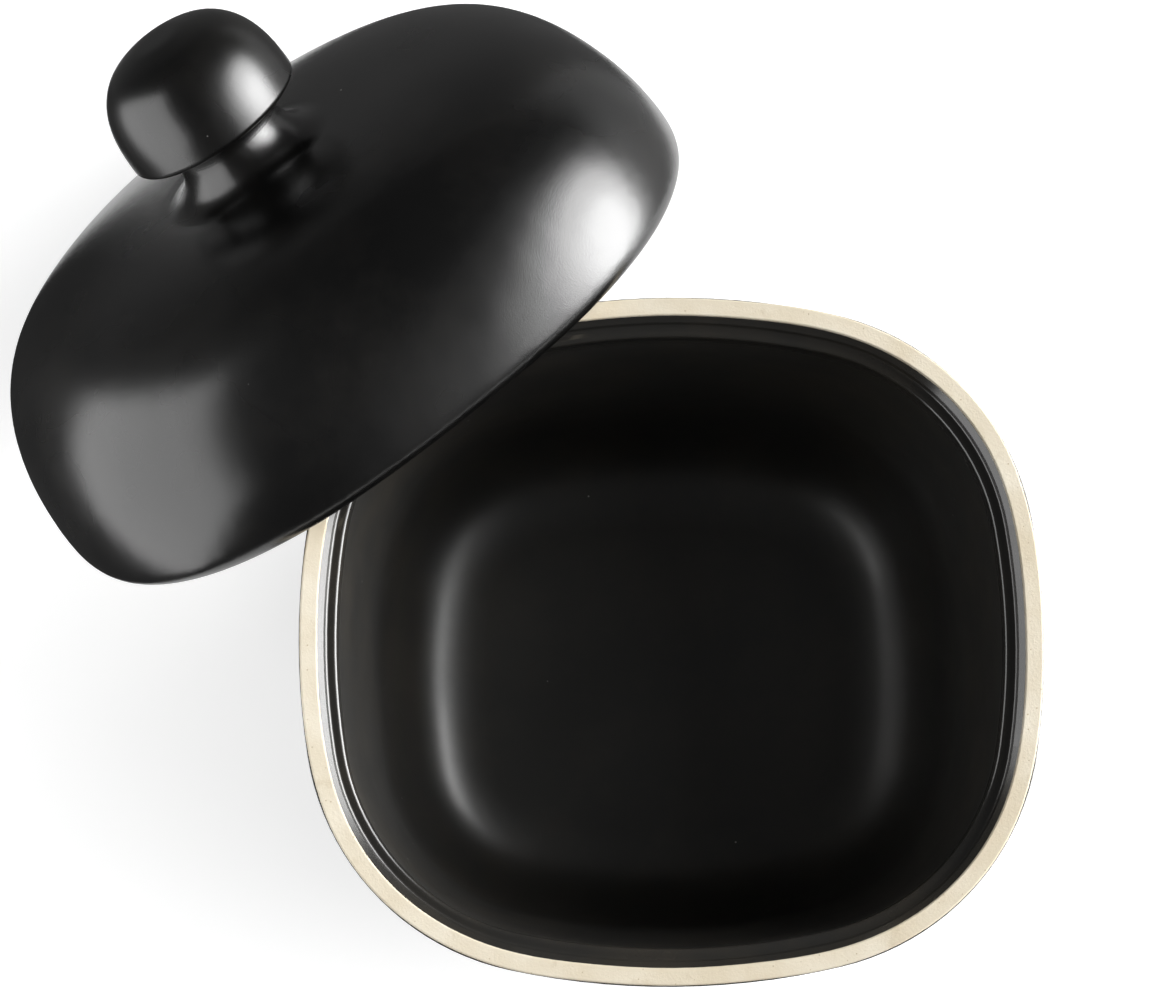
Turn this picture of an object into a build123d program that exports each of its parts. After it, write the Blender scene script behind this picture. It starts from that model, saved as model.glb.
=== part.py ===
"""Biscuit jar: a soft-square glazed stoneware jar, with its domed lid lifted off and leaning on one corner.

Millimetres, +Z up. The jar stands on the floor at the origin, its long side along X.
The lid is modelled upright about its own seat plane and then set down against the jar.
"""
import os
from functools import cache
from math import acos, atan2, cos, degrees, pi, radians, sin, sqrt

from build123d import *

# Plan of the rim, which the jar and the lid share: eight tangent arcs.
rim_half_x = 90.0
rim_half_y = 83.5
side_radius = 182.0
corner_radius = 62.5
round_spread = 0.03
outline_points = 24

# Jar wall, given as insets from the rim's plan and heights above the floor.
jar_height = 127.0
waist_height = 53.0
waist_inset = 7.8
base_inset = 21.0
base_rounding = 4.5
base_corner_rise = 2.6
base_thickness = 6.5
base_lap = 0.5
wall_thickness = 7.0
floor_rounding = 14.0

# Foot ring, set back a little from where the base starts to round.
foot_height = 2.5
foot_setback = 1.0
foot_width = 7.0
foot_edge_radius = 0.5

# Rim of the jar: a bare land, and inside it the glazed gallery that takes the lid's flange.
glaze_edge = 0.3
land_width = 4.2
land_thickness = 1.2
land_edge_radius = 0.4
gallery_bevel = 1.4
gallery_depth = 5.0
gallery_draft = 0.2
ledge_width = 1.9
ledge_root_radius = 1.0
ledge_nose_radius = 1.2
throat_depth = 9.0

# Lid: a dome that swells to a belly just above its seat, then closes in to a flat crown.
belly_height = 5.2
belly_swell = 0.034
belly_steps = 1
dome_rise = 49.2
side_fullness = 4.5
crown_fullness = 1.94
crown_radius = 26.5
roundness_power = 6.0
dome_waves = 4
wave_samples = 90
dome_steps = 20
lid_edge_radius = 0.9

# Inside of the lid: straight within the flange, then blended out to an even wall.
lid_wall = 6.0
flange_rise = 3.0
blend_height = 15.0
blend_start = 0.16
hollow_steps = 9
cut_margin = 1.0

# Underside of the lid: a bare seat set in a groove, and the flange that drops into the gallery.
seat_inset = 1.3
seat_width = 4.6
seat_thickness = 1.2
seat_gap = 0.1
flange_clearance = 0.6
flange_width = 3.0
flange_depth = 3.0
flange_edge_radius = 0.8

# Neck and knob, set a little off the middle of the crown along the lid's long side.
knob_offset = 1.2
neck_radius = 14.5
neck_height = 10.0
neck_fillet = 9.5
knob_underside_rise = 4.7
knob_underside_slope = 0.25
knob_radius = 23.8
knob_lip_rounding = 1.6
knob_cap_rise = 25.9
knob_fullness = 2.73
knob_steps = 6

# Where the lid leans: bearings are turned from +X towards +Y.
lid_bearing = 131.8
lid_standoff = 22.4
lid_axis_bearing = 127.9
rest_gap = 0.05
floor_gap = 0.15
flattest_lean = 5.0
steepest_lean = 60.0
lean_halvings = 14
edge_steps = 720

mean_half = (rim_half_x + rim_half_y) / 2
land_top = jar_height - land_thickness
land_inset = glaze_edge + land_width
ledge_top = jar_height - gallery_depth
bevel_inset = land_inset + gallery_bevel
draft_inset = bevel_inset + gallery_draft
throat_inset = draft_inset + ledge_width + ledge_nose_radius
foot_inset = base_inset + base_rounding + foot_setback
flange_inset = draft_inset + flange_clearance
hollow_inset = flange_inset + flange_width
crown_height = belly_height + dome_rise
knob_seat_height = crown_height + neck_height


@cache
def plan_arcs(half_x, half_y, side_r, corner_r):
    """Centre of the first corner's arc, and where it meets the right-hand and the back side."""
    right = Vector(half_x - side_r, 0)
    back = Vector(0, half_y - side_r)
    span = (right - back).length
    rise = sqrt((side_r - corner_r) ** 2 - (span / 2) ** 2)
    corner = (right + back) / 2 - Vector(back.Y, right.X) * (rise / span)
    meets_right = corner + (corner - right).normalized() * corner_r
    meets_back = corner + (corner - back).normalized() * corner_r
    return corner, meets_right, meets_back


def plan_size(inset=0.0, scale=1.0, roundness=0.0):
    """Half sizes and radii of the rim's plan, drawn towards a circle, scaled and set in."""
    square = (rim_half_x, rim_half_y, side_radius, corner_radius)
    spreads = (1, 1, 1 + round_spread, 1 - round_spread)
    sizes = []
    for size, spread in zip(square, spreads):
        rounded = size + (mean_half * spread - size) * roundness
        sizes.append(rounded * scale - inset)
    return sizes


def plan_reach(bearing, inset=0.0, scale=1.0, roundness=0.0):
    """Distance from the centre to the plan along a bearing in radians."""
    half_x, half_y, side_r, corner_r = plan_size(inset, scale, roundness)
    corner, on_right, on_back = plan_arcs(half_x, half_y, side_r, corner_r)
    along_x = abs(cos(bearing))
    along_y = abs(sin(bearing))
    if along_y * on_right.X < along_x * on_right.Y:
        centre_x, centre_y, radius = half_x - side_r, 0.0, side_r
    elif along_y * on_back.X > along_x * on_back.Y:
        centre_x, centre_y, radius = 0.0, half_y - side_r, side_r
    else:
        centre_x, centre_y, radius = corner.X, corner.Y, corner_r
    ahead = centre_x * along_x + centre_y * along_y
    return ahead + sqrt(ahead ** 2 - centre_x ** 2 - centre_y ** 2 + radius ** 2)


def closed_face(height, reach_at):
    """Flat face in one smooth closed curve, its distance from the centre given for each bearing."""
    points = []
    for step in range(outline_points):
        bearing = 2 * pi * step / outline_points
        reach = reach_at(bearing)
        points.append((reach * cos(bearing), reach * sin(bearing)))
    return Pos(0, 0, height) * Face(Wire([Spline(*points, periodic=True)]))


def plan_face(height, inset=0.0):
    """Flat face that keeps to the plan."""
    return closed_face(height, lambda bearing: plan_reach(bearing, inset))


def dome_face(height, inset=0.0, scale=1.0, roundness=0.0):
    """Flat face of the plan with its arcs run into each other: only the first waves of its reach."""
    bearings = [pi * step / wave_samples for step in range(wave_samples)]
    reaches = [plan_reach(bearing, inset, scale, roundness) for bearing in bearings]
    waves = [sum(reaches) / wave_samples]
    for wave in range(1, dome_waves + 1):
        swing = sum(reach * cos(2 * wave * bearing) for reach, bearing in zip(reaches, bearings))
        waves.append(2 * swing / wave_samples)
    return closed_face(
        height, lambda bearing: sum(size * cos(2 * wave * bearing) for wave, size in enumerate(waves))
    )


def plan_block(low, high, inset):
    """Upright block within one inset of the plan."""
    return extrude(plan_face(low, inset), high - low)


def plan_ring(low, high, outer_inset, width):
    """Upright band of the plan."""
    return plan_block(low, high, outer_inset) - plan_block(low, high, outer_inset + width)


def turned_round(profile):
    """Carries a wall section, drawn as inset and height, round the rim's plan, one arc at a time."""
    half_x, half_y, side_r, corner_r = plan_size()
    corner, on_right, on_back = plan_arcs(half_x, half_y, side_r, corner_r)
    right = Vector(half_x - side_r, 0)
    back = Vector(0, half_y - side_r)
    first = degrees(atan2(on_right.Y - right.Y, on_right.X - right.X))
    last = degrees(atan2(on_back.Y - back.Y, on_back.X - back.X))
    upright = Rot(90, 0, 0) * mirror(profile, Plane.YZ)
    quarter = None
    for centre, radius, begin, end in (
        (right, side_r, 0, first), (corner, corner_r, first, last), (back, side_r, last, 90)
    ):
        section = Pos(centre.X, centre.Y, 0) * Rot(0, 0, begin) * Pos(radius, 0, 0) * upright
        wedge = revolve(section, Axis((centre.X, centre.Y, 0), (0, 0, 1)), end - begin)
        quarter = wedge if quarter is None else quarter + wedge
    half = quarter + mirror(quarter, Plane.YZ)
    return half + mirror(half, Plane.XZ)


def jar_wall_section():
    """Section of the wall with its gallery, from the flat of the base up and over to the inner floor."""
    inner_base = foot_height + base_thickness
    floor_inset = base_inset + wall_thickness + floor_rounding
    underside = Line((floor_inset, foot_height), (base_inset + base_rounding, foot_height))
    base_arc = TangentArc(underside @ 1, (base_inset, foot_height + base_corner_rise), tangent=(-1, 0))
    outer = Spline(
        base_arc @ 1, (waist_inset, waist_height), (0, land_top),
        tangents=[base_arc % 1, (0, 1)],
    )
    gallery = Polyline(
        outer @ 1, (land_inset, land_top), (bevel_inset, land_top - gallery_bevel),
        (draft_inset, ledge_top), (throat_inset, ledge_top), (throat_inset, jar_height - throat_depth),
    )
    inner = Spline(
        gallery @ 1, (waist_inset + wall_thickness, waist_height), (floor_inset, inner_base),
        tangents=[(0, -1), (1, 0)],
    )
    floor_edge = Line(inner @ 1, underside @ 0)
    section = make_face([underside, base_arc, outer, gallery, inner, floor_edge])
    roundings = (
        ((0, land_top), glaze_edge),
        ((draft_inset, ledge_top), ledge_root_radius),
        ((throat_inset, ledge_top), ledge_nose_radius),
    )
    for place, radius in roundings:
        section = fillet(section.vertices().sort_by_distance(place)[0], radius)
    return section, floor_inset


def make_jar_body():
    section, floor_inset = jar_wall_section()
    base = plan_block(foot_height, foot_height + base_thickness, floor_inset - base_lap)
    return turned_round(section) + base


def make_jar_foot_ring():
    ring = plan_ring(0, foot_height, foot_inset, foot_width)
    return fillet(ring.faces().sort_by(Axis.Z)[0].edges(), foot_edge_radius)


def make_jar_bare_rim():
    ring = plan_ring(land_top, jar_height, glaze_edge, land_width)
    return fillet(ring.faces().sort_by(Axis.Z)[-1].edges(), land_edge_radius)


def dome_section(turn, wall):
    """Scale, height and roundness of the dome, for a turn from 0 at the belly to 90 degrees on top."""
    scale = (1 + belly_swell) * cos(turn) ** (2 / side_fullness)
    rise = (dome_rise - wall) * sin(turn) ** (2 / crown_fullness)
    return scale, belly_height + rise, (rise / dome_rise) ** roundness_power


def last_turn(radius):
    """Turn at which the dome has closed in to this radius."""
    share = radius / (mean_half * (1 + belly_swell))
    return acos(share ** (side_fullness / 2))


def dome_sections():
    """Sections of the lid's outside from its seat to its belly and on to its crown."""
    sections = []
    for step in range(belly_steps):
        share = step / belly_steps
        sections.append((1 + belly_swell * sin(pi / 2 * share), belly_height * share, 0.0))
    for step in range(dome_steps + 1):
        turn = last_turn(crown_radius) * sin(pi / 2 * step / dome_steps)
        sections.append(dome_section(turn, 0.0))
    return sections


def make_lid_hollow():
    """Inside of the lid, from below its flange to the underside of its crown."""
    heights = (-flange_depth - cut_margin, 0.0, flange_rise)
    faces = [dome_face(height, hollow_inset) for height in heights]
    for step in range(hollow_steps + 1):
        share = blend_start + (1 - blend_start) * sin(pi / 2 * step / hollow_steps)
        scale, height, roundness = dome_section(last_turn(crown_radius + lid_wall) * share, lid_wall)
        blend = max(0.0, 1 - height / blend_height) ** 2
        inset = lid_wall + (hollow_inset - lid_wall) * blend
        faces.append(dome_face(height, inset, scale, roundness))
    return loft(faces)


def make_lid_shell():
    dome = loft([dome_face(height, 0.0, scale, roundness) for scale, height, roundness in dome_sections()])
    dome = fillet(dome.faces().sort_by(Axis.Z)[0].edges(), lid_edge_radius)
    flange = plan_block(-flange_depth, flange_rise, flange_inset)
    flange = fillet(flange.faces().sort_by(Axis.Z)[0].edges(), flange_edge_radius)
    groove = plan_ring(-cut_margin, seat_thickness, seat_inset - seat_gap, seat_width + 2 * seat_gap)
    neck = Pos(knob_offset, 0, crown_height - lid_wall / 2) * extrude(
        Circle(neck_radius).face(), lid_wall / 2 + neck_height
    )
    shell = dome - groove + flange - make_lid_hollow() + neck
    rings = shell.edges().filter_by(GeomType.CIRCLE)
    root = rings.filter_by(lambda ring: ring.center().Z < knob_seat_height - neck_height / 2)
    return fillet(root, neck_fillet)


def make_lid_bare_seat():
    return plan_ring(0, seat_thickness, seat_inset, seat_width)


def make_lid_knob():
    """Mushroom knob: a flared underside, a rounded lip and a full cap, turned about the neck's axis."""
    lip = knob_seat_height + knob_underside_rise
    cap_points = []
    for step in range(1, knob_steps):
        turn = pi / 2 * step / knob_steps
        cap_points.append((
            knob_radius * cos(turn) ** (2 / knob_fullness),
            lip + knob_cap_rise * sin(turn) ** (2 / knob_fullness),
        ))
    seat = Line((0, knob_seat_height), (neck_radius, knob_seat_height))
    under = Spline(seat @ 1, (knob_radius, lip), tangents=[(0, 1), (1, knob_underside_slope)])
    cap = Spline(under @ 1, *cap_points, (0, lip + knob_cap_rise), tangents=[(0, 1), (-1, 0)])
    section = make_face([seat, under, cap, Line(cap @ 1, seat @ 0)])
    section = fillet(section.vertices().sort_by_distance((knob_radius, lip))[0], knob_lip_rounding)
    return Pos(knob_offset, 0, 0) * revolve(Rot(90, 0, 0) * section, Axis.Z)


def rim_edge_points(lean):
    """Places of the lid's seat and flange edges, from its rim centre, as sideways, outward and up."""
    points = []
    for inset, height in ((seat_inset, 0.0), (flange_inset, -flange_depth), (hollow_inset, -flange_depth)):
        for step in range(edge_steps):
            bearing = pi * (1 + step / edge_steps)
            reach = plan_reach(bearing, inset)
            across = reach * sin(bearing)
            points.append((
                reach * cos(bearing),
                across * sin(lean) + height * cos(lean),
                height * sin(lean) - across * cos(lean),
            ))
    return points


def rim_centre_height(lean):
    """Height of the lid's rim centre when its lower side stands on the floor."""
    drops = [rim_half_y * scale * cos(lean) - height * sin(lean) for scale, height, _ in dome_sections()]
    return floor_gap + max(drops)


def rim_clearance(lean):
    """Least height of the lid's edges over the jar's rim, when the lid stands on the floor."""
    outward = radians(lid_axis_bearing)
    least = jar_height
    for side, out, up in rim_edge_points(lean):
        place_x = lid_x + side * sin(outward) + out * cos(outward)
        place_y = lid_y - side * cos(outward) + out * sin(outward)
        bearing = atan2(place_y, place_x)
        distance = sqrt(place_x ** 2 + place_y ** 2)
        if plan_reach(bearing, throat_inset) < distance < plan_reach(bearing):
            least = min(least, up + rim_centre_height(lean) - jar_height)
    return least


def find_lean():
    """Angle of the lid's axis above the floor at which the lid just rests on the jar's rim."""
    low, high = radians(flattest_lean), radians(steepest_lean)
    for _ in range(lean_halvings):
        middle = (low + high) / 2
        if rim_clearance(middle) > rest_gap:
            low = middle
        else:
            high = middle
    return low


lid_distance = plan_reach(radians(lid_bearing)) + lid_standoff
lid_x = lid_distance * cos(radians(lid_bearing))
lid_y = lid_distance * sin(radians(lid_bearing))
lid_lean = find_lean()
lid_turn = Rot(0, 0, lid_axis_bearing - 90) * Rot(degrees(lid_lean) - 90, 0, 0)
lid_place = Pos(lid_x, lid_y, rim_centre_height(lid_lean)) * lid_turn

parts = {
    "jar_body": make_jar_body(),
    "jar_bare_rim": make_jar_bare_rim(),
    "jar_foot_ring": make_jar_foot_ring(),
    "lid_shell": lid_place * make_lid_shell(),
    "lid_bare_seat": lid_place * make_lid_bare_seat(),
    "lid_knob": lid_place * make_lid_knob(),
}

os.makedirs("parts", exist_ok=True)
for name, shape in parts.items():
    export_step(shape, f"parts/{name}.step")
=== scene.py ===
"""Biscuit jar: black-glazed stoneware, a bare clay rim, and the domed lid leaning on one corner.

The solids of the frame carry every shape. This script adds their glaze and clay, the floor, the
lights and the camera. Lengths are in metres and colours are linear, unless a name says otherwise.
"""
from math import cos, pi, radians, sin

import bpy
from mathutils import Matrix, Vector

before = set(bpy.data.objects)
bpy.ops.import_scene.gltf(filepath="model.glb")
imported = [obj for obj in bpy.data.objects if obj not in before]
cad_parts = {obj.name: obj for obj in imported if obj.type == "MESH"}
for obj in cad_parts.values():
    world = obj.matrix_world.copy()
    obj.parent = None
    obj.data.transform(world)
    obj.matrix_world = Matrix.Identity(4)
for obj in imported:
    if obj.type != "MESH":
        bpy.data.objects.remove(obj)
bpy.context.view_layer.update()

MM = 0.001

# Camera: aimed at the plane of the jar's rim, a little short of straight down.
AIM = Vector((-22.64, 34.8, 127.0)) * MM
CAMERA_DISTANCE = 1.0
CAMERA_ELEVATION = radians(83)
CAMERA_ROLL = radians(0.6)
SENSOR_WIDTH = 36.0
LENS = 129.06

# Bare clay. Scales are in waves or cells per metre; a pair FROM, FULL gives where a mask sets in.
CLAY = (0.75, 0.66, 0.50, 1)
CLAY_DARK = (0.56, 0.46, 0.31, 1)
CLAY_LIGHT = (0.86, 0.79, 0.65, 1)
CLAY_ROUGHNESS = 0.85
CLAY_SPECULAR = 0.25
CLOUD_SCALE, CLOUD_DETAIL = 60.0, 5.0
CLOUD_FROM, CLOUD_FULL = 0.35, 0.7
SPECK_SCALE, SPECK_SIZE, SPECK_SHARE = 900.0, 0.22, 0.10
SMUDGE_SCALE, SMUDGE_DETAIL = 130.0, 4.0
SMUDGE_FROM, SMUDGE_FULL, SMUDGE_STRENGTH = 0.62, 0.78, 0.55
SAND_SCALE, SAND_DETAIL, SAND_HEIGHT = 1800.0, 4.0, 0.00008

# Black glaze: deep black on the lid, and paler where it breaks. The jar's glaze is lifted to a warm
# dark brown: painted reflected light, for the glow that biscuits inside throw onto its inner walls,
# as the biscuits are not modelled.
GLAZE = (0.0012, 0.0012, 0.0012, 1)
GLAZE_WARM = (0.0065, 0.0060, 0.0054, 1)
INNER_GLAZE_PAINTED_GLOW = (0.024, 0.023, 0.021, 1)
INNER_GLAZE_WARM_PAINTED_GLOW = (0.037, 0.033, 0.027, 1)
GLAZE_IOR = 1.8
BREAK_SCALE, BREAK_DETAIL, BREAK_CONTRAST = 38.0, 6.0, 0.65
BREAK_FROM, BREAK_FULL = 0.42, 0.68
SMEAR_SCALE, SMEAR_DETAIL = 24.0, 3.0
SMEAR_FROM, SMEAR_FULL = 0.3, 0.7
SMEAR_GLOSSY, SMEAR_DULL = 0.85, 1.2
PEEL_SCALE, PEEL_HEIGHT = 160.0, 0.00001
GRAIN_SCALE = 2600.0
SURFACE_DETAIL = 2.0
DUST = (0.55, 0.54, 0.52, 1)
DUST_SCALE, DUST_SIZE = 260.0, 0.08

# Inside the jar the glaze is duller below the gallery, and goes over to it by this height.
GALLERY_FOOT = 0.119
GALLERY_FADE = 0.006
INWARD_FADE = 0.02

# Masks of round specks: the solid core of a speck, and how sharply the cells that hold one differ.
SPECK_CORE = 0.5
SPECK_PICK = 0.9
PLAIN_DETAIL = 3.0
PLAIN_CONTRAST = 0.55

# The stage is matt. The floor glows where it is seen or mirrored, so that it reads as white.
MATT_ROUGHNESS = 0.9
MATT_SPECULAR = 0.1
WHITE = (1, 1, 1, 1)
FLOOR = (0.86, 0.86, 0.86, 1)
FLOOR_REACH = 6.0
FLOOR_GLOW = 0.45
WORLD_RADIANCE = 0.055

# Cards on the floor beside the picture, seen only in reflections, where they paint dark reflections
# into the glaze: the edges that face the jar and the lid, and their colours.
CARD_REACH = 4.0
CARD_HEIGHT = 0.001
CARD_FRONT_EDGE = 0.07
CARD_BACK_EDGE = 0.19
CARD_RIGHT_EDGE = 0.03
BLACK_CARD = (0.06, 0.06, 0.06, 1)
DARK_CARD = (0.12, 0.12, 0.12, 1)
GREY_CARD = (0.34, 0.34, 0.34, 1)

# Softbox close on the left.
LEFT_PLACE = Vector((-0.289, -0.03, 0.206))
LEFT_BEARING = 200
LEFT_WIDTH, LEFT_HEIGHT = 0.404, 0.335
LEFT_RADIANCE = 2.0


class Nodes:
    """Short calls for building one material's node tree."""

    def __init__(self, name):
        self.material = bpy.data.materials.new(name)
        self.material.use_nodes = True
        self.tree = self.material.node_tree
        self.shader = self.tree.nodes["Principled BSDF"]
        coordinates = self.add("ShaderNodeTexCoord").outputs
        self.place, self.normal = coordinates["Object"], coordinates["Normal"]

    def add(self, kind, **settings):
        node = self.tree.nodes.new(kind)
        for key, value in settings.items():
            setattr(node, key, value)
        return node

    def join(self, source, target):
        self.tree.links.new(source, target)

    def noise(self, scale, detail=PLAIN_DETAIL, contrast=PLAIN_CONTRAST):
        node = self.add("ShaderNodeTexNoise")
        node.inputs["Scale"].default_value = scale
        node.inputs["Detail"].default_value = detail
        node.inputs["Roughness"].default_value = contrast
        self.join(self.place, node.inputs["Vector"])
        return node.outputs["Fac"]

    def specks(self, scale, size, share):
        """Mask of round specks: a share of the cells of a given scale hold one of this size."""
        cells = self.add("ShaderNodeTexVoronoi", feature="F1")
        cells.inputs["Scale"].default_value = scale
        self.join(self.place, cells.inputs["Vector"])
        near = self.ramp(cells.outputs["Distance"], (size * SPECK_CORE, 1.0), (size, 0.0))
        pick = self.add("ShaderNodeSeparateColor")
        self.join(cells.outputs["Color"], pick.inputs["Color"])
        few = self.ramp(pick.outputs["Red"], (1 - share, 0.0), (1 - share * SPECK_PICK, 1.0))
        return self.times(near, few)

    def ramp(self, source, low, high):
        """Maps a value so that low[0] gives low[1] and high[0] gives high[1], held outside them."""
        node = self.add("ShaderNodeMapRange", clamp=True)
        for socket, value in zip(("From Min", "To Min", "From Max", "To Max"), (*low, *high)):
            node.inputs[socket].default_value = value
        self.join(source, node.inputs["Value"])
        return node.outputs["Result"]

    def combine(self, operation, first, second):
        """Joins two values by a math operation."""
        node = self.add("ShaderNodeMath", operation=operation)
        self.join(first, node.inputs[0])
        self.join(second, node.inputs[1])
        return node.outputs["Value"]

    def times(self, first, second):
        return self.combine("MULTIPLY", first, second)

    def larger(self, first, second):
        return self.combine("MAXIMUM", first, second)

    def facing_inwards(self):
        """Mask of the surface that faces the object's upright axis."""
        level = self.add("ShaderNodeVectorMath", operation="MULTIPLY")
        level.inputs[1].default_value = (1.0, 1.0, 0.0)
        self.join(self.place, level.inputs[0])
        outward = self.add("ShaderNodeVectorMath", operation="DOT_PRODUCT")
        self.join(level.outputs["Vector"], outward.inputs[0])
        self.join(self.normal, outward.inputs[1])
        return self.ramp(outward.outputs["Value"], (0.0, 1.0), (INWARD_FADE, 0.0))

    def below_gallery(self):
        """Mask of the surface that lies lower than the foot of the jar's gallery."""
        split = self.add("ShaderNodeSeparateXYZ")
        self.join(self.place, split.inputs["Vector"])
        return self.ramp(
            split.outputs["Z"], (GALLERY_FOOT - GALLERY_FADE, 1.0), (GALLERY_FOOT, 0.0)
        )

    def mix(self, factor, first, second):
        """Mixes two values."""
        node = self.add("ShaderNodeMix", data_type="FLOAT")
        self.join(factor, node.inputs[0])
        self.join(first, node.inputs[2])
        self.join(second, node.inputs[3])
        return node.outputs[0]

    def blend(self, factor, first, second):
        """Mixes two colours, each a colour or another node's output."""
        node = self.add("ShaderNodeMix", data_type="RGBA")
        self.join(factor, node.inputs[0])
        for socket, colour in ((node.inputs[6], first), (node.inputs[7], second)):
            if isinstance(colour, tuple):
                socket.default_value = colour
            else:
                self.join(colour, socket)
        return node.outputs[2]

    def bump(self, height, distance, below=None):
        """Raises the surface by a height map, on top of another bump if one is given."""
        node = self.add("ShaderNodeBump")
        node.inputs["Strength"].default_value = 1.0
        node.inputs["Distance"].default_value = distance
        self.join(height, node.inputs["Height"])
        if below is not None:
            self.join(below, node.inputs["Normal"])
        return node.outputs["Normal"]

    def smeared(self, smears, roughness):
        """Roughness that wavers about a value with the smears."""
        return self.ramp(
            smears, (SMEAR_FROM, roughness * SMEAR_GLOSSY), (SMEAR_FULL, roughness * SMEAR_DULL)
        )


def glaze_material(name, black, warm, roughness, grain, dust_share, wall_roughness=None):
    """Black glaze: paler breaks in the black, faint orange peel, fine grain and specks of dust.

    Where wall_roughness is given, the glaze is that dull inside the jar, below its gallery.
    """
    nodes = Nodes(name)
    shader = nodes.shader
    breaks = nodes.ramp(
        nodes.noise(BREAK_SCALE, BREAK_DETAIL, BREAK_CONTRAST),
        (BREAK_FROM, 0.0), (BREAK_FULL, 1.0),
    )
    body = nodes.blend(breaks, black, warm)
    dust = nodes.specks(DUST_SCALE, DUST_SIZE, dust_share)
    nodes.join(nodes.blend(dust, body, DUST), shader.inputs["Base Color"])
    smears = nodes.noise(SMEAR_SCALE, SMEAR_DETAIL)
    finish = nodes.smeared(smears, roughness)
    if wall_roughness:
        walls = nodes.times(nodes.below_gallery(), nodes.facing_inwards())
        finish = nodes.mix(walls, finish, nodes.smeared(smears, wall_roughness))
    nodes.join(finish, shader.inputs["Roughness"])
    peel = nodes.bump(nodes.noise(PEEL_SCALE, SURFACE_DETAIL), PEEL_HEIGHT)
    fine = nodes.bump(nodes.noise(GRAIN_SCALE, SURFACE_DETAIL), grain, below=peel)
    nodes.join(fine, shader.inputs["Normal"])
    shader.inputs["IOR"].default_value = GLAZE_IOR
    return nodes.material


def clay_material():
    """Bare fired clay: cream, with sandy grain, fine dark specks and handling smudges."""
    nodes = Nodes("bare_clay")
    shader = nodes.shader
    clouds = nodes.ramp(
        nodes.noise(CLOUD_SCALE, CLOUD_DETAIL), (CLOUD_FROM, 0.0), (CLOUD_FULL, 1.0)
    )
    body = nodes.blend(clouds, CLAY, CLAY_LIGHT)
    specks = nodes.specks(SPECK_SCALE, SPECK_SIZE, SPECK_SHARE)
    smudges = nodes.ramp(
        nodes.noise(SMUDGE_SCALE, SMUDGE_DETAIL),
        (SMUDGE_FROM, 0.0), (SMUDGE_FULL, SMUDGE_STRENGTH),
    )
    speckled = nodes.blend(specks, body, CLAY_DARK)
    nodes.join(nodes.blend(smudges, speckled, CLAY_DARK), shader.inputs["Base Color"])
    shader.inputs["Roughness"].default_value = CLAY_ROUGHNESS
    shader.inputs["Specular IOR Level"].default_value = CLAY_SPECULAR
    sand = nodes.bump(nodes.noise(SAND_SCALE, SAND_DETAIL), SAND_HEIGHT)
    nodes.join(sand, shader.inputs["Normal"])
    return nodes.material


def dress(node, material):
    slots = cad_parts[node].material_slots
    if not slots:
        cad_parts[node].data.materials.append(material)
    for slot in slots:
        slot.material = material


def dress_all():
    # The jar's glaze colours hold painted reflected light: a warm dark glow for the light that
    # biscuits would throw onto the inner walls.
    jar_glaze = glaze_material(
        "jar_glaze", INNER_GLAZE_PAINTED_GLOW, INNER_GLAZE_WARM_PAINTED_GLOW,
        roughness=0.16, grain=0.000004, dust_share=0.02, wall_roughness=0.36,
    )
    lid_glaze = glaze_material(
        "lid_glaze", GLAZE, GLAZE_WARM, roughness=0.25, grain=0.000024, dust_share=0.006
    )
    knob_glaze = glaze_material(
        "knob_glaze", GLAZE, GLAZE_WARM, roughness=0.28, grain=0.000016, dust_share=0.03
    )
    dress("jar_body", jar_glaze)
    dress("lid_shell", lid_glaze)
    dress("lid_knob", knob_glaze)
    clay = clay_material()
    for node in ("jar_bare_rim", "jar_foot_ring", "lid_bare_seat"):
        dress(node, clay)


def direction(bearing, elevation):
    """Unit vector at a bearing from +X towards +Y and an elevation, both in degrees."""
    bearing, elevation = radians(bearing), radians(elevation)
    across = cos(elevation)
    return Vector((across * cos(bearing), across * sin(bearing), sin(elevation)))


def softbox(name, place, away, shape, width, height, radiance):
    """Area light at a place, facing back along the direction away, of the stated radiance."""
    lamp = bpy.data.lights.new(name, "AREA")
    lamp.shape = shape
    lamp.size = width
    lamp.size_y = height
    area = width * height * (pi / 4 if shape == "ELLIPSE" else 1)
    lamp.energy = radiance * area * pi
    holder = bpy.data.objects.new(name, lamp)
    bpy.context.scene.collection.objects.link(holder)
    holder.location = place
    holder.rotation_euler = away.to_track_quat("Z", "Y").to_euler()
    holder.visible_camera = False


def sheet(name, material, left, right, front, back, height):
    """Level rectangle."""
    corners = [
        (left, front, height), (right, front, height), (right, back, height), (left, back, height)
    ]
    mesh = bpy.data.meshes.new(name)
    mesh.from_pydata(corners, [], [(0, 1, 2, 3)])
    holder = bpy.data.objects.new(name, mesh)
    bpy.context.scene.collection.objects.link(holder)
    holder.data.materials.append(material)
    return holder


def matt_nodes(name, colour):
    """Nodes of a plain matt material in one colour."""
    nodes = Nodes(name)
    nodes.shader.inputs["Base Color"].default_value = colour
    nodes.shader.inputs["Roughness"].default_value = MATT_ROUGHNESS
    nodes.shader.inputs["Specular IOR Level"].default_value = MATT_SPECULAR
    return nodes


def make_floor():
    """White floor that also glows where the camera sees it, straight, mirrored or through glass."""
    nodes = matt_nodes("floor_white", FLOOR)
    rays = nodes.add("ShaderNodeLightPath").outputs
    seen = nodes.larger(rays["Is Camera Ray"], rays["Is Glossy Ray"])
    seen = nodes.larger(seen, rays["Is Transmission Ray"])
    glow = nodes.ramp(seen, (0.0, 0.0), (1.0, FLOOR_GLOW))
    nodes.shader.inputs["Emission Color"].default_value = WHITE
    nodes.join(glow, nodes.shader.inputs["Emission Strength"])
    sheet("floor", nodes.material, -FLOOR_REACH, FLOOR_REACH, -FLOOR_REACH, FLOOR_REACH, 0.0)


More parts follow.
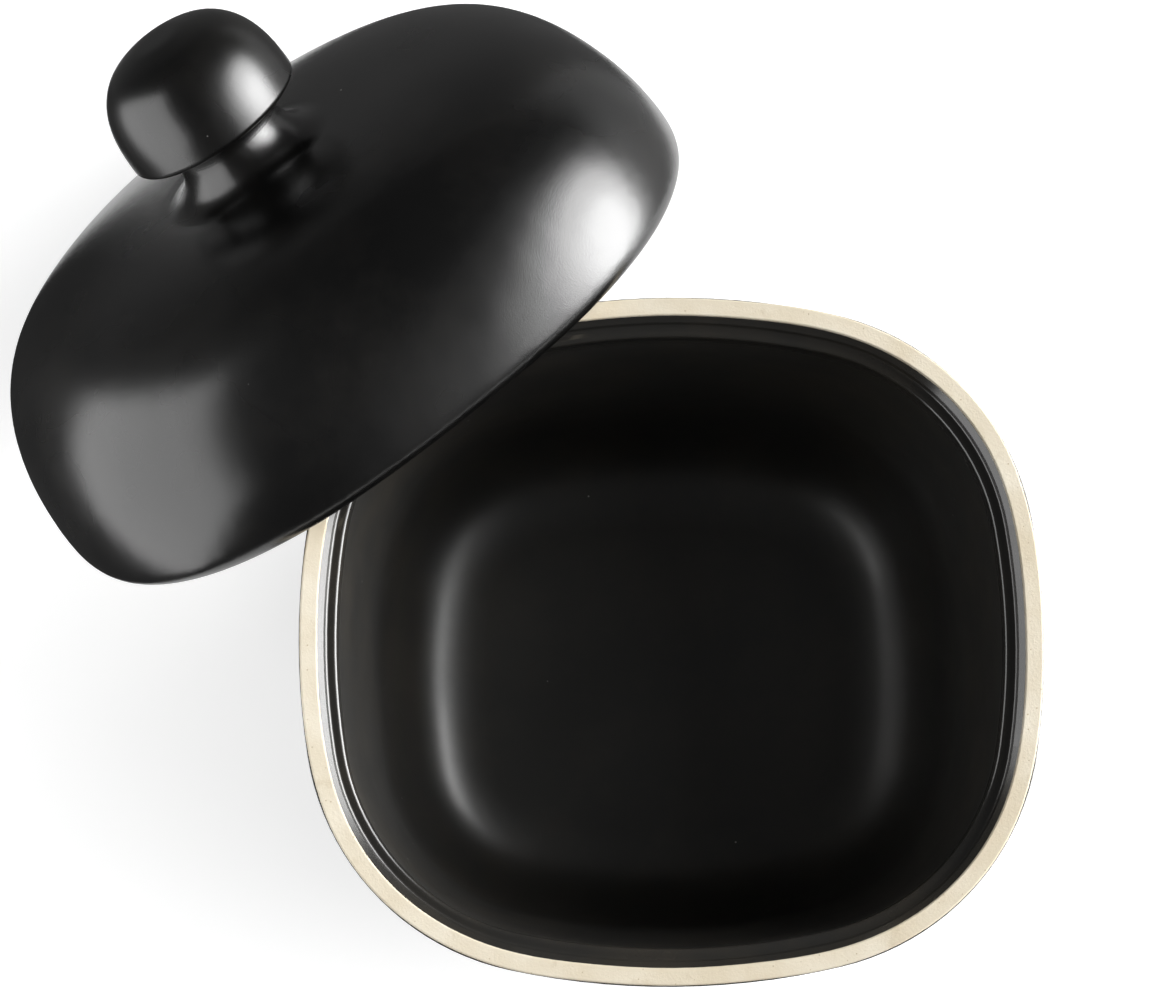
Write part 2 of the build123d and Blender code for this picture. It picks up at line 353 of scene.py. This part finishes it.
def make_cards():
    """Dark cards seen only in the glaze: painted dark reflections, which keep its far sides dark.
    """
    for name, colour, left, right, front, back in (
        ("card_left", BLACK_CARD, -CARD_REACH, -0.176, CARD_FRONT_EDGE, CARD_BACK_EDGE),
        ("card_front", BLACK_CARD, -CARD_REACH, -0.158, -CARD_REACH, CARD_FRONT_EDGE),
        ("card_back", DARK_CARD, -CARD_REACH, CARD_RIGHT_EDGE, CARD_BACK_EDGE, CARD_REACH),
        ("card_right", GREY_CARD, CARD_RIGHT_EDGE, CARD_REACH, CARD_BACK_EDGE, CARD_REACH),
    ):
        material = matt_nodes(name, colour).material
        card = sheet(name, material, left, right, front, back, CARD_HEIGHT)
        card.visible_camera = False
        card.visible_diffuse = False
        card.visible_shadow = False


def make_world():
    world = bpy.data.worlds.new("studio")
    world.use_nodes = True
    background = world.node_tree.nodes["Background"]
    background.inputs["Color"].default_value = WHITE
    background.inputs["Strength"].default_value = WORLD_RADIANCE
    bpy.context.scene.world = world


def make_lights():
    """A softbox close on the left, and one far on the right that fades from its centre."""
    softbox(
        "left_card", LEFT_PLACE, direction(LEFT_BEARING, 0), "RECTANGLE",
        LEFT_WIDTH, LEFT_HEIGHT, LEFT_RADIANCE,
    )
    for name, distance, bearing, elevation, width, height, radiance in (
        ("right_core", 2.54, 10, 18, 1.55, 1.30, 4.6),
        ("right_middle", 2.56, 12, 22, 2.70, 2.20, 4.8),
        ("right_wide", 2.58, 8, 26, 4.10, 2.95, 2.5),
        ("right_faint", 2.60, 0, 30, 7.20, 5.70, 0.10),
    ):
        away = direction(bearing, elevation)
        softbox(name, AIM + away * distance, away, "ELLIPSE", width, height, radiance)


def make_camera():
    back = Vector((0, -cos(CAMERA_ELEVATION), sin(CAMERA_ELEVATION)))
    right = Vector((1, 0, 0))
    up = back.cross(right)
    across = right * cos(CAMERA_ROLL) - up * sin(CAMERA_ROLL)
    upward = right * sin(CAMERA_ROLL) + up * cos(CAMERA_ROLL)
    lens = bpy.data.cameras.new("camera")
    lens.sensor_width = SENSOR_WIDTH
    lens.lens = LENS
    camera = bpy.data.objects.new("camera", lens)
    bpy.context.scene.collection.objects.link(camera)
    turn = Matrix((across, upward, back)).transposed().to_4x4()
    camera.matrix_world = Matrix.Translation(AIM + back * CAMERA_DISTANCE) @ turn
    bpy.context.scene.camera = camera


dress_all()
make_floor()
make_cards()
make_world()
make_lights()
make_camera()
bpy.context.scene.view_settings.view_transform = "Standard"
